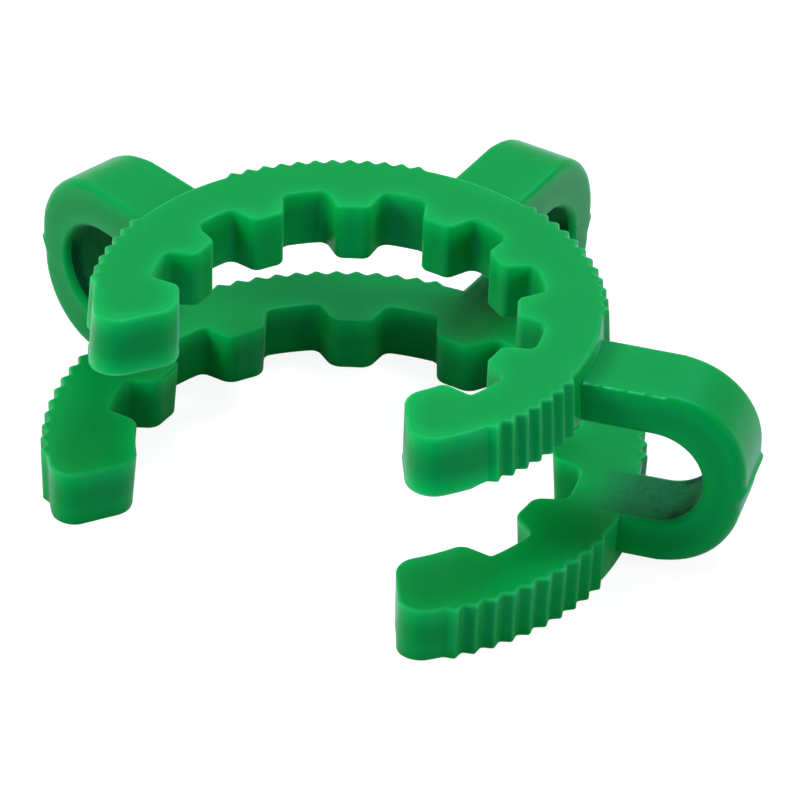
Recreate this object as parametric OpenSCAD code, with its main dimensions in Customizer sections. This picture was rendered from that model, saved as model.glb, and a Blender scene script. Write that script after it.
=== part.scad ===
// Ground glass joint clip: a one-piece moulded clip that holds a taper joint together.
// Two C-shaped rings lie one above the other and open the same way, towards -Y.
// Three sprung loops join them: one at the back and one at each side.
// The ring axis is Z, the part stands on the lower ring's underside, and X = 0 is its mirror plane.
// Angles are counted from the back (+Y) round towards the mouth (-Y), in degrees. Lengths are in mm.

/* [Upper ring] */
// Radius of the circle that the upper teeth grip, round the cone's tube
upper_grip_r = 12.0; // [11:0.1:13]
// Radial thickness of the upper ring outside its pockets
upper_wall = 3.9; // [3:0.1:5]
// Height of the upper ring
upper_h = 4.6; // [3.5:0.1:6]
// Width of an upper tooth at its tip
upper_tip_w = 2.3; // [1.5:0.1:3]
// Angle of the upper mouth, between the inner corners of its jaws
upper_mouth_angle = 101; // [92:1:108]
// Angle between an upper jaw's end face and the mirror plane
upper_flare_angle = 35; // [25:1:50]
// Angle of the rib next to an upper jaw
upper_rib_angle = 114; // [106:1:116]

/* [Lower ring] */
// Radius of the circle that the lower teeth grip, round the socket's tube
lower_grip_r = 15.0; // [14:0.1:16]
// Radial thickness of the lower ring outside its pockets
lower_wall = 4.0; // [3:0.1:5]
// Height of the lower ring
lower_h = 4.3; // [3.5:0.1:6]
// Width of a lower tooth at its tip
lower_tip_w = 2.6; // [1.5:0.1:3.4]
// Angle of the lower mouth, between the inner corners of its jaws
lower_mouth_angle = 91; // [84:1:100]
// Angle between a lower jaw's end face and the mirror plane
lower_flare_angle = 34; // [20:1:45]
// Angle of the rib next to a lower jaw
lower_rib_angle = 127; // [118:1:129]

/* [Gap] */
// Clear height between the rings, which takes the socket's bead
gap_h = 7.4; // [5:0.1:9]

/* [Teeth] */
// Angle from one tooth to the next
tooth_angle = 30; // [29:0.5:31]
// Depth of the pockets between the teeth
pocket_depth = 2.2; // [1.2:0.1:3]
// Angle that the floor of a pocket covers
pocket_angle = 13; // [9:0.5:15]
// Radius of the edges of the teeth and pockets
tooth_round = 0.5; // [0.2:0.05:0.7]

/* [Jaws] */
// Radius of the corners of the jaws, seen from above
jaw_round = 1.8; // [0.5:0.1:2]

/* [Ribs] */
// Angle from one rib to the next
rib_angle = 4; // [3.6:0.1:5]
// Height of a rib above the outer wall
rib_h = 0.42; // [0.2:0.02:0.6]
// Plain wall left between a loop's side and the nearest rib
rib_gap = 1.0; // [0.5:0.1:3]

/* [Loops] */
// Width of a loop's strap
loop_w = 6.0; // [4:0.1:8]
// Distance from the ring axis to the outer face of a loop
loop_reach = 30.1; // [28:0.1:34]
// Thickness of a loop's upper and lower arms
arm_t = 3.4; // [2:0.1:3.4]
// Thickness of a loop's outer, upright stretch
bend_t = 3.0; // [2:0.1:3.6]
// Radius of a loop's outer corners, seen from its side
loop_round = 6.2; // [4:0.1:6.5]
// Radius of the edges along the outside of a loop's strap
strap_round = 0.5; // [0.2:0.05:1]
// Angle of the side loops, from the back loop
loop_angle = 75; // [66:1:80]
// Height of the mould's parting ridge on a loop's outer face
parting_h = 0.3; // [0.1:0.05:0.4]

/* [Hidden] */
clip_green = [0.09, 0.56, 0.31];

// Teeth on each side of the one at the back, the jaw's own first flank being the last
side_teeth = 4;
// How far the arms run into the ring that carries them
arm_root = 1.5;
// How far the rings reach into the gap before the core trims them
trim = 0.5;
// Least straight stretch left between a loop's two outer corners
least_upright = 0.2;
// Facets of the loops' circles, and of the gap's core
loop_facets = 96;
core_facets = 180;
// Facets of one rib, from valley to valley
rib_facets = 4;
// Largest turn of one facet of a rounded corner, in degrees
corner_step = 16;

lower_top = lower_h;
upper_bottom = lower_top + gap_h;
loop_bottom = lower_top - arm_t;
loop_top = upper_bottom + arm_t;
loop_middle = (loop_bottom + loop_top) / 2;

// A point at radius r, turned by a degrees from the back
function at(r, a) = [r * sin(a), r * cos(a)];

// A corner of an outline: where it is, and the radius that rounds it
function corner(p, r = 0) = [p, r];

// Corners at n + 1 places along an arc about the ring axis, rounded at its two ends
function arc(r, from, to, n, r_from = 0, r_to = 0) =
    [for (i = [0:n]) corner(at(r, from + (to - from) * i / n), i == 0 ? r_from : i == n ? r_to : 0)];

// How much of an edge a rounded corner may use, when the corner at its other end has radius r
function share(r) = r > 0 ? 0.48 : 0.96;

// The facets that round one corner, between the corners before and after it
function rounded(before, here, after) =
    let (
        p = here[0],
        u = (before[0] - p) / norm(before[0] - p),
        v = (after[0] - p) / norm(after[0] - p),
        half = acos(u * v) / 2,
        cut = min(here[1] / tan(half),
                  share(before[1]) * norm(before[0] - p),
                  share(after[1]) * norm(after[0] - p)),
        centre = p + (u + v) / norm(u + v) * cut / cos(half),
        turn = 180 - 2 * half,
        n = ceil(turn / corner_step)
    )
    [for (i = [0:n])
        centre + ((p + cut * u - centre) * sin(turn * (1 - i / n))
               + (p + cut * v - centre) * sin(turn * i / n)) / sin(turn)];

// A closed outline as plain points, with every corner rounded by its own radius
function smooth(corners) =
    let (n = len(corners))
    [for (i = [0:n - 1])
        each corners[i][1] == 0
            ? [corners[i][0]]
            : rounded(corners[(i + n - 1) % n], corners[i], corners[(i + 1) % n])];

// The outline's other half: the same corners in reverse order, on the other side of the mirror plane
function mirrored(corners) =
    [for (i = [len(corners) - 2:-1:1]) corner([-corners[i][0].x, corners[i][0].y], corners[i][1])];

// The toothed inside of a ring's right half, from the tooth at the back to the jaw's inner corner
function teeth(grip_r, tip_w, mouth) =
    let (
        floor_r = grip_r + pocket_depth,
        half_tip = asin(tip_w / 2 / grip_r),
        half_floor = pocket_angle / 2
    )
    concat(
        arc(grip_r, 0, half_tip, 1, 0, tooth_round),
        [for (i = [0:side_teeth - 1]) let (pocket = (i + 0.5) * tooth_angle, next = (i + 1) * tooth_angle)
            each concat(
                arc(floor_r, pocket - half_floor, pocket + half_floor, 2, tooth_round, tooth_round),
                i < side_teeth - 1
                    ? arc(grip_r, next - half_tip, next + half_tip, 2, tooth_round, tooth_round)
                    : arc(grip_r, next - half_tip, 180 - mouth / 2, 2, tooth_round, jaw_round))]);

// Where a jaw's end face, which leaves its inner corner at the flare angle, meets the outer wall
function jaw_end(grip_r, wall_r, mouth, flare) =
    let (
        inner = at(grip_r, 180 - mouth / 2),
        along = [sin(flare), -cos(flare)],
        m = inner * along
    )
    inner + along * (sqrt(m * m + wall_r * wall_r - grip_r * grip_r) - m);

// A band of ribs with concave valleys between them, its first rib at one angle and the rest behind it
function rib_band(wall_r, first, count) =
    [for (i = [0:rib_facets * count])
        corner(at(wall_r + rib_h * pow(1 - abs(2 * (i % rib_facets) / rib_facets - 1), 2),
                  first + rib_angle * (0.5 - i / rib_facets)))];

// The outside of a ring's right half, from the jaw's outer corner to the back: ribs up to the side
// loop, its plain seat, and ribs midway between the two loops
function outer_wall(wall_r, end, rib_end) =
    let (
        seat = asin((loop_w / 2 + rib_gap) / wall_r),
        clear = seat + rib_angle / 2,
        end_angle = atan2(end.x, end.y),
        front = floor((rib_end - loop_angle - clear) / rib_angle) + 1,
        rear = floor((loop_angle - 2 * clear) / rib_angle) + 1
    )
    concat(
        [corner(end, jaw_round), corner(at(wall_r, (end_angle + rib_end) / 2))],
        rib_band(wall_r, rib_end, front),
        arc(wall_r, loop_angle + seat, loop_angle - seat, 8),
        rib_band(wall_r, (loop_angle + rib_angle * (rear - 1)) / 2, rear),
        arc(wall_r, seat, 0, 4));

// The plan of one ring
module ring_plan(grip_r, wall, tip_w, mouth, flare, rib_end) {
    wall_r = grip_r + pocket_depth + wall;
    end = jaw_end(grip_r, wall_r, mouth, flare);
    half = concat(teeth(grip_r, tip_w, mouth), outer_wall(wall_r, end, rib_end));
    polygon(smooth(concat(half, mirrored(half))));
}

// Half of a strap's section: d is the depth from its middle line to its outer face, whose edges are round
module strap_section(d) {
    translate([0, -loop_w / 2 + strap_round]) square([d, loop_w - 2 * strap_round]);
    translate([0, -loop_w / 2]) square([d - strap_round, loop_w]);
    for (side = [-1, 1])
        translate([d - strap_round, side * (loop_w / 2 - strap_round)])
            circle(r = strap_round, $fn = loop_facets);
}

// One loop, still filled, at an angle from the back: two arms, two turned corners and an upright
module loop(angle) {
    half_h = (loop_top - loop_bottom) / 2;
    corner_r = min(loop_round, half_h - least_upright / 2);
    corner_x = loop_reach - corner_r;
    upright = half_h - corner_r;
    rotate([0, 0, 90 - angle]) translate([0, 0, loop_middle]) {
        for (up = [0, 1]) mirror([0, 0, up]) {
            start = (up == 0 ? upper_grip_r + upper_wall : lower_grip_r + lower_wall)
                + pocket_depth - arm_root;
            translate([start, 0, 0]) rotate([0, -90, 0]) mirror([0, 0, 1])
                linear_extrude(corner_x - start) strap_section(half_h);
            translate([corner_x, 0, upright]) rotate([90, 0, 0])
                rotate_extrude(angle = 90, $fn = loop_facets) strap_section(corner_r);
        }
        translate([corner_x, 0, -upright])
            linear_extrude(2 * upright) strap_section(corner_r);
        rotate([90, 0, 0]) linear_extrude(loop_w - 2 * strap_round, center = true)
            polygon([
                [loop_reach - parting_h, -2 * parting_h],
                [loop_reach + parting_h, 0],
                [loop_reach - parting_h, 2 * parting_h]]);
    }
}

// The turned shape that leaves the gap between the rings and the windows of the loops
module gap_core() {
    bend_r = gap_h / 2;
    bend_x = loop_reach - bend_t - bend_r;
    translate([0, 0, loop_middle]) rotate_extrude($fn = core_facets) {
        translate([0, -bend_r]) square([bend_x, gap_h]);
        intersection() {
            translate([bend_x, 0]) circle(r = bend_r, $fn = loop_facets);
            translate([bend_x, -bend_r]) square([bend_r, gap_h]);
        }
    }
}

// The whole clip, moulded in one piece. The rings reach a little into the gap, and the core trims them
module clip() {
    color(clip_green) difference() {
        union() {
            linear_extrude(lower_h + trim)
                ring_plan(lower_grip_r, lower_wall, lower_tip_w,
                          lower_mouth_angle, lower_flare_angle, lower_rib_angle);
            translate([0, 0, upper_bottom - trim]) linear_extrude(upper_h + trim)
                ring_plan(upper_grip_r, upper_wall, upper_tip_w,
                          upper_mouth_angle, upper_flare_angle, upper_rib_angle);
            for (angle = [-loop_angle, 0, loop_angle]) loop(angle);
        }
        gap_core();
    }
}

clip();
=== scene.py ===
"""A ground glass joint clip: two toothed, ribbed rings and three sprung loops, moulded in one piece.

The clip stands on its lower ring. The ring axis is Z, X = 0 is its mirror plane and the mouth
opens towards -Y. Angles round the axis are counted from the back, +Y, towards the mouth.
"""

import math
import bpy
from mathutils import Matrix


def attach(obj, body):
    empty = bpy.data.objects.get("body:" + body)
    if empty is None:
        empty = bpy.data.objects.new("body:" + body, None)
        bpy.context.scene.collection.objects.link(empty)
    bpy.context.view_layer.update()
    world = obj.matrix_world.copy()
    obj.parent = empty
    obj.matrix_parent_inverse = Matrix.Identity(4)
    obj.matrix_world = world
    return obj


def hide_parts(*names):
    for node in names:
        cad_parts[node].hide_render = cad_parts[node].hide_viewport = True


bl_info = {
    "name": "Ground Glass Joint Clip",
    "version": (1, 0, 0),
    "blender": (4, 5, 0),
    "location": "View3D > Sidebar > Joint Clip",
    "description": "Builds a moulded clip for taper joints, its plastic and a plain stage",
    "category": "Object",
}

import bmesh
import bpy
import numpy as np
from bpy.props import (
    FloatProperty,
    FloatVectorProperty,
    PointerProperty,
)
from mathutils import Matrix, Vector

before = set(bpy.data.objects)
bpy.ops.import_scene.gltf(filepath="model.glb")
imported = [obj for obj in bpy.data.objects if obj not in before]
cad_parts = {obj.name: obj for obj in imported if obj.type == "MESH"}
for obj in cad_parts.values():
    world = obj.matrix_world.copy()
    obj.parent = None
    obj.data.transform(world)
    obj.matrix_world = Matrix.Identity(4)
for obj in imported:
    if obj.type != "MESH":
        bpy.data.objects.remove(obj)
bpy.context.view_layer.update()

MM = 0.001
# Width of the view in pixels, and of the camera's sensor in millimetres
VIEW_WIDTH = 800
SENSOR = 36.0
# The nearest place that the camera sees, and half the side of the floor, in metres
CAMERA_NEAR = 0.01
FLOOR_HALF = 3.0
# Side of each square lamp, and its distance from the ring axis, in metres
LAMP_SIZE = 0.28
LAMP_DISTANCE = 0.8
# Where the lamps stand: azimuth, with 0 in front of the mouth and 90 at the right, and elevation
REAR_FROM = (math.radians(180), math.radians(60))
LEFT_FROM = (math.radians(-45), math.radians(36))
RIGHT_FROM = (math.radians(85), math.radians(20))

# Facets of the small forms
TIP_STEPS = 4
FLOOR_STEPS = 5
TOOTH_CORNER_STEPS = 5
JAW_CORNER_STEPS = 12
JAW_FACE_STEPS = 3
WALL_STEP = math.radians(1.5)
RIB_STEPS = 12
EDGE_STEPS = 4
BEND_STEPS = 36
ARM_STEPS = 48
# Teeth on each side of the one at the back, the jaw's own first flank being the last
SIDE_TEETH = 4
# How hollow the flutes between the ribs are, from 1, flat, and how blunt the ribs' crests, from 0
RIB_SHARPNESS = 1.4
RIB_BLUNTNESS = 0.2
# How far the arms run into the rings, and how far they stay clear of the rings' flat faces
ARM_ROOT = 1.5 * MM
SEAM = 0.02 * MM
# How far the parting ridge runs out above and below its crest
RIDGE_ABOVE = 0.2 * MM
RIDGE_BELOW = 1.2 * MM
# How close to the underside the jaws' lip stays
LIP_SHARPNESS = 3.0
# The line of flash: its mean height as a share of its size, and the waves that break it up
FLASH_MEAN = 0.75
FLASH_WAVES = (1.9 * MM, 0.83 * MM, 0.47 * MM)
# Points of the union that lie closer than this are one
WELD = 0.0005 * MM
# The sharpest bend that is shaded smooth, and how much the larger faces lead the shading
SMOOTH_BEND = math.radians(50)
LARGE_FACE_LEAD = 60

# Kinds of sockets of the node groups
COLOUR = "NodeSocketColor"
NUMBER = "NodeSocketFloat"
# How far the core's marks reach past a window's own round, and where they begin and are whole,
# outwards from the ring axis
CORE_SKIN = 0.12 * MM
CORE_START = 18.5 * MM
CORE_WHOLE = 21.5 * MM
# Scale of those marks along X, Y and Z: the core's draw leaves them longer than they are wide
CORE_STREAKS = (1.0, 1.0, 0.45)
# The range of noise over which the cloudy dye darkens, and the one over which the core's stains and painted
# shade do
DYE_DARKENS = (0.35, 0.75)
SHADE_AND_STAINS_DARKEN = (0.5, 0.8)
# Width of the pitted strip of painted shade along a window's edges, and of the part of it that is fully
# pitted
PIT_WIDTH = 1.2 * MM
PIT_WHOLE = 0.4 * MM
# Where that strip begins and is fully pitted, outwards from the start of the bend, and how far
# above the window's middle it ends, all in radii of the window
PIT_BEND = (0.25, 0.5)
PIT_ABOVE = 1 / 3
# Rays that look for the outer edges where a glow is painted in place of light shining through, and
# their shares where that painted glow begins and is full
GLOW_SAMPLES = 8
GLOW_BEGUN = 0.97
GLOW_FULL = 0.5
# How level a face is, from 0 for an upright one, where its painted glow starts to fade
LEVEL_FROM = 0.3
# The point attributes with the shares of that painted glow and of the painted highlight line at the very
# edges
PAINTED_GLOW_SHARE = "painted_glow_share"
PAINTED_HIGHLIGHT_SHARE = "painted_highlight_share"
# Those two shares of painted light on each kind of form
UPPER_JAW_LIGHT = (1.0, 1.0)
LOWER_JAW_LIGHT = (0.7, 1.0)
UPPER_TOOTH_LIGHT = (0.75, 0.6)
LOWER_TOOTH_LIGHT = (0.9, 0.5)
LOOP_LIGHT = (0.35, 0.7)
RIB_LIGHT = (0.15, 1.0)


def length(label, about, millimetres):
    """A size property, in Blender's metres."""
    return FloatProperty(name=label, description=about, default=millimetres * MM, unit="LENGTH", precision=5)


def angle(label, about, degrees):
    """An angle property."""
    return FloatProperty(name=label, description=about, default=math.radians(degrees), subtype="ANGLE")


def share(label, about, value):
    """A plain number from 0 to 1."""
    return FloatProperty(name=label, description=about, default=value, min=0.0, max=1.0)


def power(label, about, watts):
    """A lamp's power."""
    return FloatProperty(name=label, description=about, default=watts, min=0.0, unit="POWER")


def colour(label, about, value):
    """A colour property, in linear light."""
    return FloatVectorProperty(name=label, description=about, default=value, size=3, subtype="COLOR")


class UpperRingSizes(bpy.types.PropertyGroup):
    """The smaller ring, which grips the cone's tube."""

    bottom: length("Underside", "Height of the ring's underside", 11.7)
    top: length("Top face", "Height of the ring's top face", 16.25)
    grip_r: length("Grip radius", "Radius of the circle that the teeth grip, at the top", 11.95)
    wall_r: length("Wall radius", "Radius of the plain outer wall, at the top", 17.95)
    inner_draft: length("Inner draft", "How much the teeth close in towards the underside", 0.04)
    outer_draft: length("Outer draft", "How much the outer wall grows towards the underside", 0.285)
    tip_w: length("Tooth width", "Width of a tooth at its tip", 2.23)
    pocket_depth: length("Pocket depth", "Depth of the pockets between the teeth", 2.15)
    mouth: angle("Mouth", "Angle between the inner corners of the two jaws", 101.0)
    flare: angle("Flare", "Angle between a jaw's end face and the mirror plane", 34.7)
    first_rib: angle("First rib", "Angle of the rib next to a jaw", 114.05)
    foot_round: length("Foot rounding", "Radius of the edges round the underside", 0.3)
    tooth_round: length("Tooth rounding", "Radius of the upright edges of the teeth", 0.75)
    lip: length("Lip", "How far a thin lip stands out round the underside of the jaws", 0.05)


class LowerRingSizes(bpy.types.PropertyGroup):
    """The larger ring, which grips the socket's tube."""

    bottom: length("Underside", "Height of the ring's underside", 0.0)
    top: length("Top face", "Height of the ring's top face", 4.3)
    grip_r: length("Grip radius", "Radius of the circle that the teeth grip, at the top", 14.89)
    wall_r: length("Wall radius", "Radius of the plain outer wall, at the top", 21.27)
    inner_draft: length("Inner draft", "How much the teeth close in towards the underside", -0.296)
    outer_draft: length("Outer draft", "How much the outer wall grows towards the underside", -0.16)
    tip_w: length("Tooth width", "Width of a tooth at its tip", 2.64)
    pocket_depth: length("Pocket depth", "Depth of the pockets between the teeth", 2.23)
    mouth: angle("Mouth", "Angle between the inner corners of the two jaws", 91.0)
    flare: angle("Flare", "Angle between a jaw's end face and the mirror plane", 34.3)
    first_rib: angle("First rib", "Angle of the rib next to a jaw", 127.1)
    foot_round: length("Foot rounding", "Radius of the edges round the underside", 0.08)
    tooth_round: length("Tooth rounding", "Radius of the upright edges of the teeth", 1.15)
    lip: length("Lip", "How far a thin lip stands out round the underside of the jaws", 0.0)


class TeethSizes(bpy.types.PropertyGroup):
    """What the teeth, jaws and ribs of both rings share."""

    tooth_pitch: angle("Tooth pitch", "Angle from one tooth to the next", 29.95)
    pocket: angle("Pocket floor", "Angle that the floor of a pocket covers", 13.2)
    pocket_round: length("Pocket rounding", "Radius in the corners of the pockets", 0.7)
    jaw_pocket_round: length("Jaw pocket rounding", "Radius in the corner of a pocket at its jaw", 0.25)
    jaw_round: length("Jaw rounding", "Radius of the upright edges of the jaws", 1.8)
    rim_round: length("Rim rounding", "Radius of the edges round the rings' top faces", 0.2)
    rib_pitch: angle("Rib pitch", "Angle from one rib to the next", 4.01)
    rib_h: length("Rib height", "Height of a rib above the outer wall", 0.42)
    rib_gap: length("Rib gap", "Plain wall between a loop's side and the nearest rib", 1.0)


class LoopSizes(bpy.types.PropertyGroup):
    """The three sprung loops that join the rings."""

    width: length("Strap width", "Width of a loop's strap", 5.9)
    reach: length("Reach", "Distance from the ring axis to a loop's outer face", 29.85)
    back_reach: length("Back reach", "The same distance at the back loop", 30.2)
    back_lift: length("Back lift", "How much higher the back loop's bend stands", 0.12)
    top: length("Top", "Height of the upper arm's top face", 15.08)
    bottom: length("Bottom", "Height of the lower arm's underside", 1.1)
    bend_t: length("Bend thickness", "Thickness of a loop's upright stretch", 3.0)
    outer_round: length("Outer corner", "Radius of a loop's outer corners, seen from its side", 5.9)
    arm_edge: length("Arm edges", "Radius of the long edges outside an arm", 0.4)
    bend_edge: length("Bend edges", "Radius of the long edges round the outside of the bend", 0.85)
    window_edge: length("Window edges", "Radius of the edges round the window", 0.5)
    side_angle: angle("Side loops", "Angle of the side loops, from the back", 75.0)
    parting: length("Parting ridge", "Height of the mould's parting ridge on the outer face", 0.2)
    mismatch: length("Mould mismatch", "How far the loops' outer faces stand back below the ridge", 0.25)
    flash: length("Flash", "Height of the broken line of flash along the right arm", 0.12)


class FinishSettings(bpy.types.PropertyGroup):
    """The dyed plastic."""

    green: colour("Green", "Colour of the dyed plastic", (0.0, 0.30, 0.048))
    deep: colour("Deep green", "Colour where the dye lies thicker", (0.0, 0.27, 0.042))
    # Edge is a painted glow: a paler colour near outer edges that stands in for light shining through
    edge: colour("Edge", "Colour near outer edges, where light shines through", (0.0, 0.62, 0.115))
    # Rim is a painted highlight: a pale line along the very edges
    rim: colour("Rim", "Colour of the very edges", (0.04, 0.55, 0.19))
    # Core face is darker than the plastic, partly the core's duller face and partly painted shade inside the
    # windows; Core stain darkens its mottle, and its pitted strip as painted shade
    core: colour("Core face", "Duller colour inside the windows", (0.012, 0.19, 0.045))
    core_shade_and_stain: colour("Core stain", "Colour of the stains inside the windows", (0.0, 0.075, 0.015))
    roughness: share("Roughness", "Roughness of the moulded faces", 0.30)
    core_roughness: share("Core roughness", "Roughness inside the windows", 0.62)
    satin_depth: length("Satin depth", "Depth of the satin grain and the flow waves", 0.01)
    core_depth: length("Core depth", "Depth of the texture inside the windows", 0.06)
    light_depth: length("Light depth", "How far light travels in the plastic", 0.35)
    # Glow depth and Glow on flats set the reach of that painted glow and its share on level faces
    glow_depth: length("Glow depth", "How far from an edge light shines through", 1.8)
    glow_on_flats: share("Glow on flats", "Share of the glow on the faces that lie flat", 0.3)
    # Rim depth is the reach of that painted highlight line
    painted_highlight_depth: length("Rim depth", "How far the pale line at the very edges reaches", 0.3)


class StageSettings(bpy.types.PropertyGroup):
    """The floor, the lamps and the camera."""

    floor: colour("Floor", "Colour that the floor gives back as light", (0.3, 0.3, 0.3))
    floor_white: share("Floor white", "How much white the floor shows besides its own light", 0.88)
    floor_mirrored: share("Floor mirrored", "Paleness of the floor where the clip mirrors it", 1.0)
    world: share("Surroundings", "Strength of the white surroundings as light", 0.39)
    world_mirrored: share("Surroundings mirrored", "Strength of the surroundings where mirrored", 0.5)
    rear: power("Rear lamp", "Power of the high lamp behind the clip", 2.9)
    left: power("Left lamp", "Power of the low lamp at the left, in front", 4.1)
    right: power("Right lamp", "Power of the low lamp at the right", 1.8)
    cool: colour("Cool light", "Colour of the rear lamp", (0.9, 1.0, 1.4))
    target_x: length("Target X", "Point that the camera looks at", 69.409)
    target_y: length("Target Y", "Point that the camera looks at", -110.543)
    target_z: length("Target Z", "Point that the camera looks at", 98.803)
    azimuth: angle("Azimuth", "Turn of the camera about the ring axis", 30.424)
    elevation: angle("Elevation", "Height of the camera over the horizon", 34.890)
    roll: angle("Roll", "Turn of the camera about its own axis", 1.904)
    distance: length("Distance", "Distance from the camera to its target", 284.995)
    focal: FloatProperty(name="Focal length", description="In pixels of the view", default=6247.99)


class ClipSettings(bpy.types.PropertyGroup):
    """Everything that a user would change."""

    upper: PointerProperty(type=UpperRingSizes)
    lower: PointerProperty(type=LowerRingSizes)
    teeth: PointerProperty(type=TeethSizes)
    loops: PointerProperty(type=LoopSizes)
    finish: PointerProperty(type=FinishSettings)
    stage: PointerProperty(type=StageSettings)


# The plan of a ring: points, each with the direction from it into the plastic


def at(radius, turn):
    """A point in plan at a radius from the ring axis, turned by an angle from the back."""
    return np.array([radius * math.sin(turn), radius * math.cos(turn)])


def turn_of(point):
    """How far a point in plan is turned from the back."""
    return math.atan2(point[0], point[1])


def ring_arc(radius, start, end, steps, into):
    """An arc about the ring axis. into is 1 where the plastic lies outside it, and -1 inside it."""
    spokes = [at(1.0, start + (end - start) * i / steps) for i in range(steps + 1)]
    return [(radius * spoke, into * spoke) for spoke in spokes]


def corner_arc(centre, start, end, steps, into):
    """A rounded corner from start to end. into is -1 where the plastic lies at its centre."""
    first = start - centre
    last = end - centre
    turn = math.atan2(first[0] * last[1] - first[1] * last[0], first @ last)
    points = []
    for i in range(steps + 1):
        cosine = math.cos(turn * i / steps)
        sine = math.sin(turn * i / steps)
        spoke = np.array([cosine * first[0] - sine * first[1], sine * first[0] + cosine * first[1]])
        points.append((centre + spoke, into * spoke / np.linalg.norm(spoke)))
    return points


def meet(point, along, radius, near):
    """Where a straight line crosses a circle about the ring axis, on the side of near."""
    ahead = point @ along
    root = math.sqrt(ahead * ahead - point @ point + radius * radius)
    ends = [point + (-ahead + sign * root) * along for sign in (-1, 1)]
    return min(ends, key=lambda end: np.linalg.norm(end - near))


def on_circle(point, radius):
    """The point moved to a circle about the ring axis."""
    return point * radius / np.linalg.norm(point)


def clamped(value):
    """The value kept between 0 and 1."""
    return min(max(value, 0.0), 1.0)


def into_plastic(start, end, inside):
    """The direction across the line from start to end that points to the side of inside."""
    along = (end - start) / np.linalg.norm(end - start)
    across = np.array([-along[1], along[0]])
    return along, across if across @ (inside - start) > 0 else -across


def tooth_flank(tip, floor, inside, ring, far):
    """A flank's two rounded corners, from the tooth's tip to a pocket's floor. far rounds the second."""
    along, into = into_plastic(tip, floor, inside)
    near = ring.tooth_round
    grip_r = ring.grip_r
    floor_r = grip_r + ring.pocket_depth
    outer = meet(tip + near * into, along, grip_r + near, tip)
    inner = meet(floor - far * into, along, floor_r - far, floor)
    return (corner_arc(outer, on_circle(outer, grip_r), outer - near * into, TOOTH_CORNER_STEPS, -1)
            + corner_arc(inner, inner + far * into, on_circle(inner, floor_r), TOOTH_CORNER_STEPS, 1))


def toothed_inside(ring, teeth):
    """The inside of a ring's right half and its jaw, up to the outer wall."""
    grip_r = ring.grip_r
    floor_r = grip_r + ring.pocket_depth
    half_tip = math.asin(ring.tip_w / 2 / grip_r)
    half_floor = teeth.pocket / 2
    points = []
    last = 0.0
    for i in range(SIDE_TEETH):
        tooth = i * teeth.tooth_pitch
        pocket = tooth + teeth.tooth_pitch / 2
        after = tooth + teeth.tooth_pitch
        last_corner = teeth.jaw_pocket_round if i == SIDE_TEETH - 1 else teeth.pocket_round
        down = tooth_flank(at(grip_r, tooth + half_tip), at(floor_r, pocket - half_floor),
                           at(floor_r, tooth), ring, teeth.pocket_round)
        up = tooth_flank(at(grip_r, after - half_tip), at(floor_r, pocket + half_floor),
                         at(floor_r, after), ring, last_corner)[::-1]
        points += ring_arc(grip_r, last, turn_of(down[0][0]), TIP_STEPS, 1)[:-1]
        points += down[:-1]
        points += ring_arc(floor_r, turn_of(down[-1][0]), turn_of(up[0][0]), FLOOR_STEPS, 1)
        points += up[1:-1]
        last = turn_of(up[-1][0])
    return points + jaw(ring, teeth, last)


def jaw(ring, teeth, last):
    """A jaw, from the last flank of the teeth round its end face to the outer wall."""
    round_r = teeth.jaw_round
    inner = at(ring.grip_r, math.pi - ring.mouth / 2)
    away = inner + np.array([math.sin(ring.flare), -math.cos(ring.flare)]) * ring.wall_r
    along, into = into_plastic(inner, away, at(ring.wall_r, 0.0))
    outer = meet(inner, along, ring.wall_r, away)
    first = meet(inner + round_r * into, along, ring.grip_r + round_r, inner)
    second = meet(outer + round_r * into, along, ring.wall_r - round_r, outer)
    near = corner_arc(first, on_circle(first, ring.grip_r), first - round_r * into, JAW_CORNER_STEPS, -1)
    far = corner_arc(second, second - round_r * into, on_circle(second, ring.wall_r), JAW_CORNER_STEPS, -1)
    face = [(near[-1][0] + (far[0][0] - near[-1][0]) * i / JAW_FACE_STEPS, into)
            for i in range(1, JAW_FACE_STEPS)]
    wall_end = turn_of(far[-1][0])
    ribs = ring.first_rib + teeth.rib_pitch / 2
    steps = math.ceil((wall_end - ribs) / WALL_STEP)
    return (ring_arc(ring.grip_r, last, turn_of(near[0][0]), TIP_STEPS, 1)[:-1]
            + near + face + far
            + ring_arc(ring.wall_r, wall_end, ribs, steps, -1)[1:-1])


def rib_places(first, count, pitch):
    """Angles along a band of ribs, each with its angle from where the band begins."""
    offsets = [pitch * i / RIB_STEPS for i in range(count * RIB_STEPS + 1)]
    return [(first + pitch / 2 - offset, offset) for offset in offsets]


def outer_places(ring, teeth, loops):
    """Angles along the outer wall's right half: ribs, the side loop's plain seat, ribs, the back."""
    pitch = teeth.rib_pitch
    seat = math.asin((loops.width / 2 + teeth.rib_gap) / ring.wall_r)
    clear = seat + pitch / 2
    front = math.floor((ring.first_rib - loops.side_angle - clear) / pitch) + 1
    rear = math.floor((loops.side_angle - 2 * clear) / pitch) + 1
    band = rib_places(ring.first_rib, front, pitch)
    back_band = rib_places((loops.side_angle + pitch * (rear - 1)) / 2, rear, pitch)
    return band + plain_places(band[-1][0], back_band[0][0]) + back_band + plain_places(back_band[-1][0], 0.0)


def plain_places(start, end):
    """Angles between two others on the plain wall, without the first one and, before a band, the last."""
    steps = math.ceil((start - end) / WALL_STEP)
    last = steps + 1 if end == 0.0 else steps
    return [(start + (end - start) * i / steps, 0.0) for i in range(1, last)]


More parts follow.
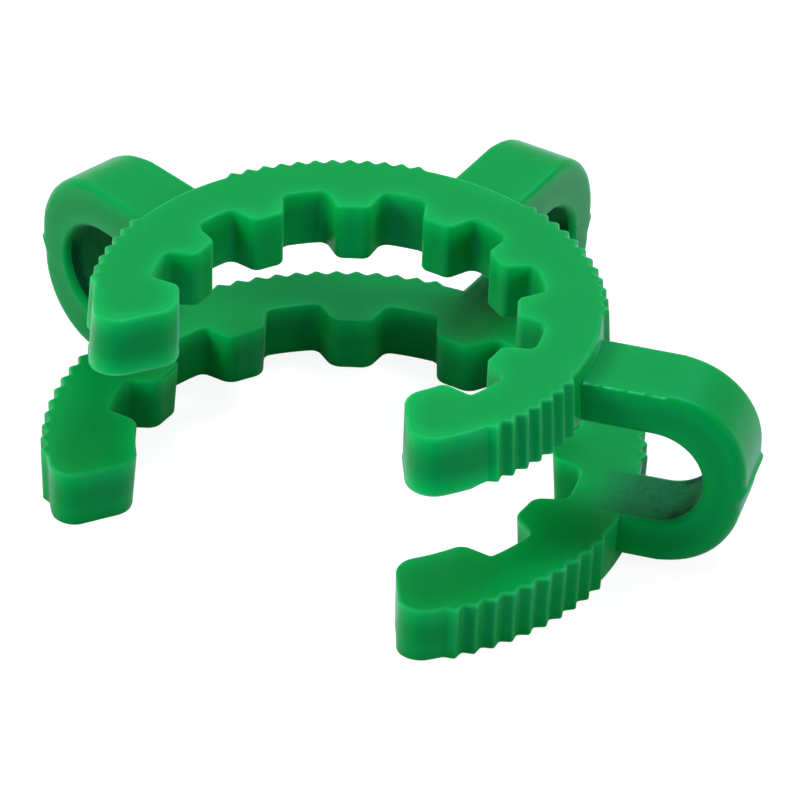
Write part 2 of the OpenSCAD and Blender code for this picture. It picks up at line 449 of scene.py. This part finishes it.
def wall_radius(ring, teeth, inset, offset):
    """Radius of the outer wall, moved in by inset, at an angle from where its band of ribs begins."""
    from_crest = 2 * abs(offset / teeth.rib_pitch % 1 - 0.5)
    raised = max(0.0, 1 - math.hypot(from_crest, RIB_BLUNTNESS)) / (1 - RIB_BLUNTNESS)
    return ring.wall_r + teeth.rib_h * raised ** RIB_SHARPNESS - inset


def lip_share(ring, teeth, point):
    """How much of the lip there is at a point in plan: all of it on the jaws, none past the ribs."""
    begun = ring.first_rib + teeth.rib_pitch / 2
    return clamped((turn_of(point) - begun) / teeth.rib_pitch)


def ring_outline(ring, teeth, loops, inset, lip, down):
    """The closed outline of a ring at one height. down is how far that is from the top, from 0 to 1."""
    floor_r = ring.grip_r + ring.pocket_depth
    half = []
    for point, into in toothed_inside(ring, teeth):
        outer = clamped((np.linalg.norm(point) - floor_r) / (ring.wall_r - floor_r))
        moved = point + (inset - lip * lip_share(ring, teeth, point)) * into
        grown = down * (outer * ring.outer_draft - (1 - outer) * ring.inner_draft)
        half.append(on_circle(moved, np.linalg.norm(moved) + grown))
    for turn, offset in outer_places(ring, teeth, loops):
        half.append(at(wall_radius(ring, teeth, inset, offset) + down * ring.outer_draft, turn))
    mirror = [np.array([-x, y]) for x, y in half[-2:0:-1]]
    return half + mirror


def quarter_turn():
    """Angles from 0 to a right angle, at the steps of a rounded edge."""
    return [math.pi / 2 * i / EDGE_STEPS for i in range(EDGE_STEPS + 1)]


def rim_levels(ring, teeth):
    """Heights from the underside up, each with how far the outline moves in and its share of the lip."""
    rim = teeth.rim_round
    foot = ring.foot_round
    low = []
    high = []
    for turn in quarter_turn():
        short = 1 - math.sin(turn)
        inwards = 1 - math.cos(turn)
        low.append((ring.bottom + foot * short, foot * inwards, math.sin(turn) ** LIP_SHARPNESS))
        high.append((ring.top - rim * short, rim * inwards, 0.0))
    return low[::-1] + high


def ring_mesh(name, ring, teeth, loops):
    """One ring as a closed mesh: its outline at each height, and two flat faces."""
    rows = []
    for height, inset, lip in rim_levels(ring, teeth):
        down = (ring.top - height) / (ring.top - ring.bottom)
        outline = ring_outline(ring, teeth, loops, inset, lip * (ring.lip + inset), down)
        rows.append([(x, y, height) for x, y in outline])
    return lofted(name, rows)


def lofted(name, rows):
    """A closed mesh through rows of as many points each, with a flat face at either end."""
    across = len(rows[0])
    vertices = [tuple(float(value) for value in point) for row in rows for point in row]
    faces = [tuple(range(across))[::-1], tuple(range(len(vertices) - across, len(vertices)))]
    for i in range(len(rows) - 1):
        for j in range(across):
            after = (j + 1) % across
            below = i * across
            above = below + across
            faces.append((below + j, below + after, above + after, above + j))
    mesh = bpy.data.meshes.new(name)
    mesh.from_pydata(vertices, [], faces)
    work = bmesh.new()
    work.from_mesh(mesh)
    bmesh.ops.recalc_face_normals(work, faces=work.faces)
    work.to_mesh(mesh)
    work.free()
    mesh.validate()
    return mesh


# The loops, each swept as a strap along its own side view


def strap_stations(settings, reach):
    """Inner and outer points of the strap in its side view, with the radius of its outer edges."""
    upper, lower, loops = settings.upper, settings.lower, settings.loops
    high = upper.bottom + SEAM
    low = lower.top - SEAM
    window_r = (high - low) / 2
    start = upper.wall_r - ARM_ROOT
    inner_run = reach - loops.bend_t - window_r - start
    outer_run = reach - loops.outer_round - start
    stations = []
    for i in range(ARM_STEPS):
        out = i / ARM_STEPS
        stations.append(((start + inner_run * out, high), (start + outer_run * out, loops.top),
                         loops.arm_edge))
    stations += bend_stations(loops, reach, (low + high) / 2, window_r)
    for x in (lower.wall_r + ARM_ROOT / 2, lower.wall_r - ARM_ROOT):
        stations.append(((x, low), (x, loops.bottom), loops.arm_edge))
    return stations


def bend_stations(loops, reach, middle, window_r):
    """Places along the bend, from the upper arm to the lower one, with the parting ridge half way."""
    window_x = reach - loops.bend_t - window_r
    corner_x = reach - loops.outer_round
    upright = loops.top - loops.bottom - 2 * loops.outer_round
    corner = math.pi / 2 * loops.outer_round
    total = 2 * corner + upright
    ridge = [0.5 - RIDGE_ABOVE / total, 0.5 + RIDGE_BELOW / total]
    stations = []
    for passed in sorted([i / BEND_STEPS for i in range(BEND_STEPS + 1)] + ridge):
        turn = math.pi * (0.5 - passed)
        inner = (window_x + window_r * math.cos(turn), middle + window_r * math.sin(turn))
        run = passed * total
        past_corner = min(max(run - corner, 0.0), upright)
        lean = math.pi / 2 - (run - past_corner) / loops.outer_round
        below = (passed - 0.5) * total
        fade = RIDGE_BELOW if below > 0 else RIDGE_ABOVE
        proud = loops.parting * max(0.0, 1 - abs(below) / fade)
        bent = math.sin(math.pi * passed)
        if below > 0:
            proud -= loops.mismatch * min(below / fade, 1.0) * bent
        outer = (corner_x + loops.outer_round * math.cos(lean) + proud,
                 loops.top - loops.outer_round - past_corner + loops.outer_round * math.sin(lean))
        edge = loops.arm_edge + (loops.bend_edge - loops.arm_edge) * math.sqrt(bent)
        stations.append((inner, outer, edge))
    return stations


def flash_height(settings, x):
    """Height of the broken line of flash along an arm's near edge, at a distance from the ring axis."""
    loops = settings.loops
    run = x - settings.upper.wall_r
    end = loops.reach - loops.outer_round - settings.upper.wall_r
    if not 0.0 < run < end:
        return 0.0
    # A wave's length in millimetres is its phase too, so that no two waves start together
    waves = [math.sin(math.tau * run / wave + wave / MM) for wave in FLASH_WAVES]
    return loops.flash * max(0.0, FLASH_MEAN + sum(waves) / len(waves))


def strap_section(inner, outer, width, inner_edge, outer_edge, flash):
    """The strap's outline at one station, as points with X outwards, Y across and Z up."""
    inner = np.array(inner)
    outer = np.array(outer)
    depth = np.linalg.norm(outer - inner)
    along = (outer - inner) / depth
    half = width / 2
    quarter = quarter_turn()
    proud = [0.0] * len(quarter)
    plan = []
    for side, order in ((-1, 1), (1, -1)):
        proud[EDGE_STEPS // 2] = flash if side < 0 else 0.0
        corner = [(side * (half - outer_edge + (outer_edge + raised) * math.cos(turn)),
                   depth - outer_edge + (outer_edge + raised) * math.sin(turn))
                  for turn, raised in zip(quarter, proud)]
        window = [(side * (half - inner_edge + inner_edge * math.cos(turn)),
                   inner_edge - inner_edge * math.sin(turn)) for turn in quarter[::-1]]
        plan += (window + corner)[::order]
    points = []
    for across, out in plan:
        x, z = inner + along * out
        points.append((x, across, z))
    return points


def loop_mesh(name, settings, turn, reach, lift, flash=False):
    """One loop as a closed mesh, turned to its place. lift raises its bend above the ring's end."""
    loops = settings.loops
    middle = (settings.upper.bottom + settings.lower.top) / 2
    start = settings.upper.wall_r
    rows = []
    for inner, outer, edge in strap_stations(settings, reach):
        row = []
        proud = flash_height(settings, outer[0]) if flash and outer[1] == loops.top else 0.0
        for x, y, z in strap_section(inner, outer, loops.width, loops.window_edge, edge, proud):
            along = max(0.0, (x - start) / (reach - start))
            above = max(0.0, (z - middle) / (loops.top - middle))
            row.append((x, y, z + lift * along * above))
        rows.append(row)
    mesh = lofted(name, rows)
    mesh.transform(Matrix.Rotation(math.pi / 2 - turn, 4, "Z"))
    return mesh


def joined(name, meshes):
    """The union of closed meshes as one mesh."""
    objects = []
    for mesh in meshes:
        obj = bpy.data.objects.new(mesh.name, mesh)
        bpy.context.scene.collection.objects.link(obj)
        objects.append(obj)
    first = objects[0]
    for other in objects[1:]:
        union = first.modifiers.new("union", "BOOLEAN")
        union.operation = "UNION"
        union.solver = "EXACT"
        union.object = other
    shapes = bpy.context.evaluated_depsgraph_get()
    mesh = bpy.data.meshes.new_from_object(first.evaluated_get(shapes))
    mesh.name = name
    for obj in objects:
        bpy.data.objects.remove(obj)
    return mesh


def painted_light_shares(place, settings):
    """Shares of the painted glow and painted highlight at a place; on the teeth they grow with height,
    painting them lighter high up.
    """
    upper, lower, loops = settings.upper, settings.lower, settings.loops
    above = place.z > (upper.bottom + lower.top) / 2
    ring = upper if above else lower
    outward = math.hypot(place.x, place.y)
    turn = abs(math.atan2(place.x, place.y))
    if outward > ring.wall_r + settings.teeth.rib_h + loops.window_edge:
        return LOOP_LIGHT
    if turn > ring.first_rib:
        return UPPER_JAW_LIGHT if above else LOWER_JAW_LIGHT
    if outward > ring.wall_r - settings.teeth.rim_round:
        return RIB_LIGHT
    raised = clamped((place.z - ring.bottom) / (ring.top - ring.bottom))
    return [raised * value for value in (UPPER_TOOTH_LIGHT if above else LOWER_TOOTH_LIGHT)]


def set_painted_light_shares(mesh, settings):
    """Gives each point of the mesh its shares of the painted glow and of the painted highlight at edges."""
    shares = [mesh.attributes.new(name, "FLOAT", "POINT") for name in (PAINTED_GLOW_SHARE, PAINTED_HIGHLIGHT_SHARE)]
    for vertex in mesh.vertices:
        for attribute, value in zip(shares, painted_light_shares(vertex.co, settings)):
            attribute.data[vertex.index].value = value


def smoothed(mesh):
    """Cleans the union, and shades it smooth except at edges sharper than a moulded rounding."""
    work = bmesh.new()
    work.from_mesh(mesh)
    bmesh.ops.remove_doubles(work, verts=work.verts, dist=WELD)
    bmesh.ops.dissolve_degenerate(work, edges=work.edges, dist=WELD)
    loose = [vertex for vertex in work.verts if not vertex.link_faces]
    bmesh.ops.delete(work, geom=loose, context="VERTS")
    open_edges = [edge for edge in work.edges if len(edge.link_faces) != 2]
    work.to_mesh(mesh)
    work.free()
    if open_edges:
        raise RuntimeError(f"the moulded clip's surface is open at {len(open_edges)} edges")
    mesh.shade_smooth()
    mesh.set_sharp_from_angle(angle=SMOOTH_BEND)


# The plastic


def fill_inputs(tree, node, inputs):
    """Gives inputs of a node, by name or number, a value or another node's output."""
    for name, value in inputs.items():
        if isinstance(value, bpy.types.NodeSocket):
            tree.links.new(value, node.inputs[name])
        else:
            node.inputs[name].default_value = value


def add_node(tree, kind, inputs=(), **settings):
    """Adds a shader node with its own settings, and fills its inputs."""
    node = tree.nodes.new(kind)
    for name, value in settings.items():
        setattr(node, name, value)
    fill_inputs(tree, node, dict(inputs))
    return node


def calculated(tree, operation, *terms):
    """The output of a Math node on values or other nodes' outputs."""
    return add_node(tree, "ShaderNodeMath", enumerate(terms), operation=operation).outputs["Value"]


def product(tree, *factors):
    """The product of several nodes' outputs."""
    result = factors[0]
    for factor in factors[1:]:
        result = calculated(tree, "MULTIPLY", result, factor)
    return result


def mapped(tree, value, start, end, low=0.0, high=1.0):
    """Where a value stands between start and end, as a number from low to high and never beyond."""
    inputs = {"Value": value, "From Min": start, "From Max": end, "To Min": low, "To Max": high}
    return add_node(tree, "ShaderNodeMapRange", inputs).outputs["Result"]


def blended(tree, amount, first, second, data_type="RGBA"):
    """A mix of two colours or numbers: first where amount is 0, second where it is 1."""
    inputs = {"Factor": amount, "A": first, "B": second}
    return add_node(tree, "ShaderNodeMix", inputs, data_type=data_type).outputs["Result"]


def place_on_clip(tree):
    """The place on the clip, in its own frame."""
    return add_node(tree, "ShaderNodeTexCoord").outputs["Object"]


def axes_of(tree, vector):
    """The X, Y and Z of a vector."""
    return add_node(tree, "ShaderNodeSeparateXYZ", {"Vector": vector}).outputs


def node_group(name, inputs, outputs):
    """A new node group with named inputs and outputs, and what its inputs bring into it."""
    group = bpy.data.node_groups.new(name, "ShaderNodeTree")
    for label, kind, value in inputs:
        group.interface.new_socket(label, in_out="INPUT", socket_type=kind).default_value = value
    for label, kind in outputs:
        group.interface.new_socket(label, in_out="OUTPUT", socket_type=kind)
    return group, add_node(group, "NodeGroupInput").outputs


def moulded_surface():
    """Node group for moulded plastic: cloudy dye, slow flow waves and a fine satin grain."""
    group, given = node_group(
        "moulded_surface",
        [("Colour", COLOUR, (0.0, 0.3, 0.1, 1.0)),
         ("Deep Colour", COLOUR, (0.0, 0.2, 0.07, 1.0)),
         ("Cloudiness", NUMBER, 0.6),
         ("Cloud Scale", NUMBER, 150.0),
         ("Roughness", NUMBER, 0.4),
         ("Patchiness", NUMBER, 0.14),
         ("Grain Scale", NUMBER, 5000.0),
         ("Wave Height", NUMBER, 6.0)],
        [("Colour", COLOUR), ("Roughness", NUMBER), ("Height", NUMBER)])
    place = place_on_clip(group)
    cloudy = {"Vector": place, "Scale": given["Cloud Scale"], "Detail": 4.0, "Roughness": 0.6}
    clouds = add_node(group, "ShaderNodeTexNoise", cloudy).outputs["Fac"]
    grainy = {"Vector": place, "Scale": given["Grain Scale"], "Detail": 3.0}
    grain = add_node(group, "ShaderNodeTexNoise", grainy).outputs["Fac"]
    depth = mapped(group, clouds, *DYE_DARKENS, 0.0, given["Cloudiness"])
    add_node(group, "NodeGroupOutput", {
        "Colour": blended(group, depth, given["Colour"], given["Deep Colour"]),
        "Roughness": calculated(group, "MULTIPLY_ADD", clouds, given["Patchiness"], given["Roughness"]),
        "Height": calculated(group, "MULTIPLY_ADD", clouds, given["Wave Height"], grain),
    })
    return group


def painted_edge_glow():
    """Node group for a painted glow, standing in for light shining through: 1 at outer edges, fading into the
    faces.

    On Flats is the share of it that faces which lie flat keep. There is none at the floor, and it
    is whole at the height Dark Foot.
    """
    group, given = node_group(
        "painted_edge_glow",
        [("Depth", NUMBER, 1.2 * MM), ("On Flats", NUMBER, 1.0), ("Dark Foot", NUMBER, 1.5 * MM)],
        [("Mask", NUMBER)])
    normal = add_node(group, "ShaderNodeNewGeometry").outputs["Normal"]
    level = calculated(group, "ABSOLUTE", axes_of(group, normal)["Z"])
    kept = mapped(group, level, LEVEL_FROM, 1.0, 1.0, given["On Flats"])
    lifted = mapped(group, axes_of(group, place_on_clip(group))["Z"], 0.0, given["Dark Foot"])
    inwards = add_node(group, "ShaderNodeAmbientOcclusion", {"Distance": given["Depth"]},
                       samples=GLOW_SAMPLES, inside=True, only_local=True)
    near_edge = mapped(group, inwards.outputs["AO"], GLOW_BEGUN, GLOW_FULL)
    add_node(group, "NodeGroupOutput", {"Mask": product(group, near_edge, kept, lifted)})
    return group


def core_surface():
    """Node group for the faces that a core leaves inside the windows: mottled, streaked and pitted, darkened
    partly as painted shade.
    """
    group, given = node_group(
        "core_surface",
        [("Colour", COLOUR, (0.01, 0.15, 0.05, 1.0)),
         ("Dark Colour", COLOUR, (0.0, 0.06, 0.02, 1.0)),
         ("Mottle Scale", NUMBER, 1800.0),
         ("Pitted Shade", NUMBER, 0.0),
         ("Pit Darkness", NUMBER, 0.4)],
        [("Colour", COLOUR), ("Height", NUMBER)])
    drawn = add_node(group, "ShaderNodeMapping", {"Vector": place_on_clip(group), "Scale": CORE_STREAKS})
    mottled = {"Vector": drawn.outputs["Vector"], "Scale": given["Mottle Scale"],
               "Detail": 5.0, "Roughness": 0.65, "Distortion": 0.4}
    mottle = add_node(group, "ShaderNodeTexNoise", mottled).outputs["Fac"]
    # The pitted strip darkens the mottle as painted shade
    pitted = calculated(group, "MULTIPLY_ADD", given["Pitted Shade"], given["Pit Darkness"], mottle)
    stain = mapped(group, pitted, *SHADE_AND_STAINS_DARKEN)
    add_node(group, "NodeGroupOutput", {
        "Colour": blended(group, stain, given["Colour"], given["Dark Colour"]),
        "Height": mottle,
    })
    return group


def window_mask(settings):
    """Node group for the faces round one loop's window, for the loop's turn and reach.

    Mask is 1 on them, and Pitted Shade is 1 near their edges in the lower half of the bend, where shade is
    painted.
    """
    loops = settings.loops
    low = settings.lower.top
    high = settings.upper.bottom
    window_r = (high - low) / 2
    rim = loops.width / 2 - loops.window_edge
    group, given = node_group(
        "window_mask",
        [("Turn", NUMBER, 0.0), ("Reach", NUMBER, loops.reach)],
        [("Mask", NUMBER), ("Pitted Shade", NUMBER)])
    turned = add_node(group, "ShaderNodeVectorRotate",
                      {"Vector": place_on_clip(group), "Angle": given["Turn"]}, rotation_type="Z_AXIS")
    axes = axes_of(group, turned.outputs["Vector"])
    across = calculated(group, "ABSOLUTE", axes["X"])
    bend = calculated(group, "SUBTRACT", given["Reach"], loops.bend_t + window_r)
    past = calculated(group, "SUBTRACT", axes["Y"], bend)
    beyond = calculated(group, "MAXIMUM", past, 0.0)
    height = calculated(group, "SUBTRACT", axes["Z"], (low + high) / 2)
    from_middle = add_node(group, "ShaderNodeCombineXYZ", {"X": beyond, "Y": height}).outputs["Vector"]
    far = add_node(group, "ShaderNodeVectorMath", {0: from_middle}, operation="LENGTH").outputs["Value"]
    inside = calculated(group, "LESS_THAN", far, window_r + CORE_SKIN)
    narrow = calculated(group, "LESS_THAN", across, rim)
    begun = mapped(group, axes["Y"], CORE_START, CORE_WHOLE)
    at_side = mapped(group, across, rim - PIT_WIDTH, rim - PIT_WHOLE)
    at_bend = mapped(group, beyond, *[part * window_r for part in PIT_BEND])
    below = mapped(group, height, PIT_ABOVE * window_r, 0.0)
    add_node(group, "NodeGroupOutput", {
        "Mask": product(group, inside, narrow, begun),
        "Pitted Shade": product(group, at_side, at_bend, below),
    })
    return group


def all_windows(tree, settings):
    """The outputs for the faces round any of the three windows: the mask and the pitted strip of painted
    shade.
    """
    loops = settings.loops
    shared = window_mask(settings)
    windows = []
    for turn, reach in ((-loops.side_angle, loops.reach), (0.0, loops.back_reach),
                        (loops.side_angle, loops.reach)):
        inputs = {"Turn": turn, "Reach": reach}
        windows.append(add_node(tree, "ShaderNodeGroup", inputs, node_tree=shared).outputs)
    found = []
    for name in ("Mask", "Pitted Shade"):
        left, back, right = [window[name] for window in windows]
        found.append(calculated(tree, "MAXIMUM", calculated(tree, "MAXIMUM", left, back), right))
    return found


def point_share(tree, name):
    """A share that the mesh's points hold, by its attribute's name."""
    return add_node(tree, "ShaderNodeAttribute", attribute_name=name).outputs["Fac"]


def plastic(settings):
    """The dyed acetal: light soaks a little way in, a glow and a highlight line are painted at the edges, and
    it is darker inside the windows, partly as painted shade.
    """
    finish = settings.finish
    material = bpy.data.materials.new("green_acetal")
    material.use_nodes = True
    tree = material.node_tree
    moulded = add_node(tree, "ShaderNodeGroup", {
        "Colour": (*finish.green, 1.0),
        "Deep Colour": (*finish.deep, 1.0),
        "Roughness": finish.roughness,
    }, node_tree=moulded_surface()).outputs
    mask, pitted_shade = all_windows(tree, settings)
    # The window faces take the core's darker colour, partly painted shade
    core = add_node(tree, "ShaderNodeGroup", {
        "Colour": (*finish.core, 1.0),
        "Dark Colour": (*finish.core_shade_and_stain, 1.0),
        "Pitted Shade": pitted_shade,
    }, node_tree=core_surface()).outputs
    glow = painted_edge_glow()
    wide = {"Depth": finish.glow_depth, "On Flats": finish.glow_on_flats}
    edges = add_node(tree, "ShaderNodeGroup", wide, node_tree=glow).outputs["Mask"]
    painted_highlight_mask = add_node(tree, "ShaderNodeGroup", {"Depth": finish.painted_highlight_depth}, node_tree=glow).outputs["Mask"]
    # Painted glow: paler colour near outer edges, standing in for light that shines through
    painted_glow_amount = product(tree, edges, point_share(tree, PAINTED_GLOW_SHARE))
    # Painted highlight: a pale line along the very edges
    painted_highlight_amount = product(tree, painted_highlight_mask, point_share(tree, PAINTED_HIGHLIGHT_SHARE))
    lit = blended(tree, painted_glow_amount, moulded["Colour"], (*finish.edge, 1.0))
    with_painted_highlight = blended(tree, painted_highlight_amount, lit, (*finish.rim, 1.0))
    satin = add_node(tree, "ShaderNodeBump", {
        "Strength": 0.1,
        "Distance": finish.satin_depth,
        "Height": moulded["Height"],
    })
    rough = add_node(tree, "ShaderNodeBump", {
        "Strength": 0.6,
        "Distance": finish.core_depth,
        "Height": product(tree, core["Height"], mask),
        "Normal": satin.outputs["Normal"],
    })
    fill_inputs(tree, tree.nodes["Principled BSDF"], {
        "Base Color": blended(tree, mask, with_painted_highlight, core["Colour"]),
        "Roughness": blended(tree, mask, moulded["Roughness"], finish.core_roughness, "FLOAT"),
        "Normal": rough.outputs["Normal"],
        "IOR": 1.46,
        "Specular IOR Level": 0.2,
        "Specular Tint": (0.0, 1.0, 1.0, 1.0),
        "Sheen Weight": 0.5,
        "Sheen Roughness": 0.22,
        "Sheen Tint": (0.4, 1.0, 0.9, 1.0),
        "Subsurface Weight": 1.0,
        "Subsurface Radius": (0.2, 1.0, 0.45),
        "Subsurface Scale": finish.light_depth,
    })
    return material


class JOINTCLIP_OT_clip(bpy.types.Operator):
    """Builds the moulded clip with its plastic, in place of the plain solid"""

    bl_idname = "jointclip.clip"
    bl_label = "Moulded Clip"

    def execute(self, context):
        settings = context.scene.joint_clip
        loops = settings.loops
        mesh = joined("moulded_clip", [
            ring_mesh("lower_ring", settings.lower, settings.teeth, loops),
            ring_mesh("upper_ring", settings.upper, settings.teeth, loops),
            loop_mesh("left_loop", settings, -loops.side_angle, loops.reach, 0.0),
            loop_mesh("back_loop", settings, 0.0, loops.back_reach, loops.back_lift),
            loop_mesh("right_loop", settings, loops.side_angle, loops.reach, 0.0, flash=True),
        ])
        smoothed(mesh)
        set_painted_light_shares(mesh, settings)
        mesh.materials.clear()
        mesh.materials.append(plastic(settings))
        clip = bpy.data.objects.new("moulded_clip", mesh)
        context.scene.collection.objects.link(clip)
        shade = clip.modifiers.new("even_shading", "WEIGHTED_NORMAL")
        shade.keep_sharp = True
        shade.weight = LARGE_FACE_LEAD
        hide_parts("clip")
        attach(clip, "root")
        return {"FINISHED"}


# The stage


def seen_share(tree, path):
    """1 for what the camera sees, itself or through glass, and 0 for all other light."""
    return calculated(tree, "MAXIMUM", path["Is Camera Ray"], path["Is Transmission Ray"])


def pale_floor(stage):
    """A floor that gives little light back but shows white, and keeps the clip's soft shadow."""
    material = bpy.data.materials.new("pale_floor")
    material.use_nodes = True
    tree = material.node_tree
    tree.nodes.remove(tree.nodes["Principled BSDF"])
    path = add_node(tree, "ShaderNodeLightPath").outputs
    pale = (stage.floor_mirrored, stage.floor_mirrored, stage.floor_mirrored, 1.0)
    tone = blended(tree, path["Is Glossy Ray"], (*stage.floor, 1.0), pale)
    lit = add_node(tree, "ShaderNodeBsdfDiffuse", {"Color": tone}).outputs["BSDF"]
    shown = calculated(tree, "MULTIPLY", seen_share(tree, path), stage.floor_white)
    white = add_node(tree, "ShaderNodeEmission", {"Strength": shown}).outputs["Emission"]
    both = add_node(tree, "ShaderNodeAddShader", {0: lit, 1: white}).outputs["Shader"]
    fill_inputs(tree, tree.nodes["Material Output"], {"Surface": both})
    return material


def surroundings(stage):
    """A white world, dimmer as light and where the clip mirrors it than as the background."""
    world = bpy.data.worlds.new("white_room")
    world.use_nodes = True
    tree = world.node_tree
    path = add_node(tree, "ShaderNodeLightPath").outputs
    lit = blended(tree, path["Is Glossy Ray"], stage.world, stage.world_mirrored, "FLOAT")
    fill_inputs(tree, tree.nodes["Background"], {
        "Color": (1.0, 1.0, 1.0, 1.0),
        "Strength": blended(tree, seen_share(tree, path), lit, 1.0, "FLOAT"),
    })
    bpy.context.scene.world = world


def direction(azimuth, elevation):
    """The direction to a lamp or the camera: azimuth 0 is in front of the mouth, 90 at the right."""
    return Vector((
        math.sin(azimuth) * math.cos(elevation),
        -math.cos(azimuth) * math.cos(elevation),
        math.sin(elevation),
    ))


def soft_lamp(name, watts, place, tone=(1.0, 1.0, 1.0)):
    """A square soft lamp that points at the clip from an azimuth and an elevation."""
    towards = direction(*place)
    lamp = bpy.data.lights.new(name, "AREA")
    lamp.energy = watts
    lamp.color = tone
    lamp.size = LAMP_SIZE
    obj = bpy.data.objects.new(name, lamp)
    obj.location = LAMP_DISTANCE * towards
    obj.rotation_euler = towards.to_track_quat("Z", "Y").to_euler()
    bpy.context.scene.collection.objects.link(obj)


def view_camera(stage):
    """The camera, from where it looks and how it is turned."""
    back = direction(stage.azimuth, stage.elevation)
    right = Vector((math.cos(stage.azimuth), math.sin(stage.azimuth), 0.0))
    up = back.cross(right)
    turned_right = math.cos(stage.roll) * right + math.sin(stage.roll) * up
    turned_up = math.cos(stage.roll) * up - math.sin(stage.roll) * right
    target = Vector((stage.target_x, stage.target_y, stage.target_z))
    camera = bpy.data.cameras.new("view")
    camera.sensor_width = SENSOR
    camera.lens = stage.focal * SENSOR / VIEW_WIDTH
    camera.clip_start = CAMERA_NEAR
    obj = bpy.data.objects.new("view", camera)
    turned = Matrix((turned_right, turned_up, back)).transposed().to_4x4()
    obj.matrix_world = Matrix.Translation(target + stage.distance * back) @ turned
    bpy.context.scene.collection.objects.link(obj)
    bpy.context.scene.camera = obj


class JOINTCLIP_OT_stage(bpy.types.Operator):
    """Builds the pale floor, the soft lamps, the white surroundings and the camera"""

    bl_idname = "jointclip.stage"
    bl_label = "Stage"

    def execute(self, context):
        stage = context.scene.joint_clip.stage
        mesh = bpy.data.meshes.new("floor")
        corners = [(x * FLOOR_HALF, y * FLOOR_HALF, 0.0) for x, y in ((-1, -1), (1, -1), (1, 1), (-1, 1))]
        mesh.from_pydata(corners, [], [(0, 1, 2, 3)])
        mesh.materials.append(pale_floor(stage))
        floor = bpy.data.objects.new("floor", mesh)
        context.scene.collection.objects.link(floor)
        surroundings(stage)
        soft_lamp("rear", stage.rear, REAR_FROM, stage.cool)
        soft_lamp("left", stage.left, LEFT_FROM)
        soft_lamp("right", stage.right, RIGHT_FROM)
        view_camera(stage)
        context.scene.view_settings.view_transform = "Standard"
        return {"FINISHED"}


class JOINTCLIP_PT_panel(bpy.types.Panel):
    """The clip's sizes and steps, in the sidebar"""

    bl_label = "Joint Clip"
    bl_idname = "JOINTCLIP_PT_panel"
    bl_space_type = "VIEW_3D"
    bl_region_type = "UI"
    bl_category = "Joint Clip"

    def draw(self, context):
        settings = context.scene.joint_clip
        for part in ("upper", "lower", "teeth", "loops", "finish", "stage"):
            group = getattr(settings, part)
            box = self.layout.box()
            box.label(text=part.capitalize())
            for name in group.bl_rna.properties.keys():
                if name not in ("name", "rna_type"):
                    box.prop(group, name)
        self.layout.operator(JOINTCLIP_OT_clip.bl_idname)
        self.layout.operator(JOINTCLIP_OT_stage.bl_idname)


CLASSES = (
    UpperRingSizes,
    LowerRingSizes,
    TeethSizes,
    LoopSizes,
    FinishSettings,
    StageSettings,
    ClipSettings,
    JOINTCLIP_OT_clip,
    JOINTCLIP_OT_stage,
    JOINTCLIP_PT_panel,
)


def register():
    """Registers the classes and gives the scene its settings."""
    for cls in CLASSES:
        bpy.utils.register_class(cls)
    bpy.types.Scene.joint_clip = PointerProperty(type=ClipSettings)


def unregister():
    """Takes the settings and the classes away again."""
    del bpy.types.Scene.joint_clip
    for cls in reversed(CLASSES):
        bpy.utils.unregister_class(cls)


def main():
    """Builds everything."""
    register()
    bpy.ops.jointclip.clip()
    bpy.ops.jointclip.stage()


if __name__ == "__main__":
    main()
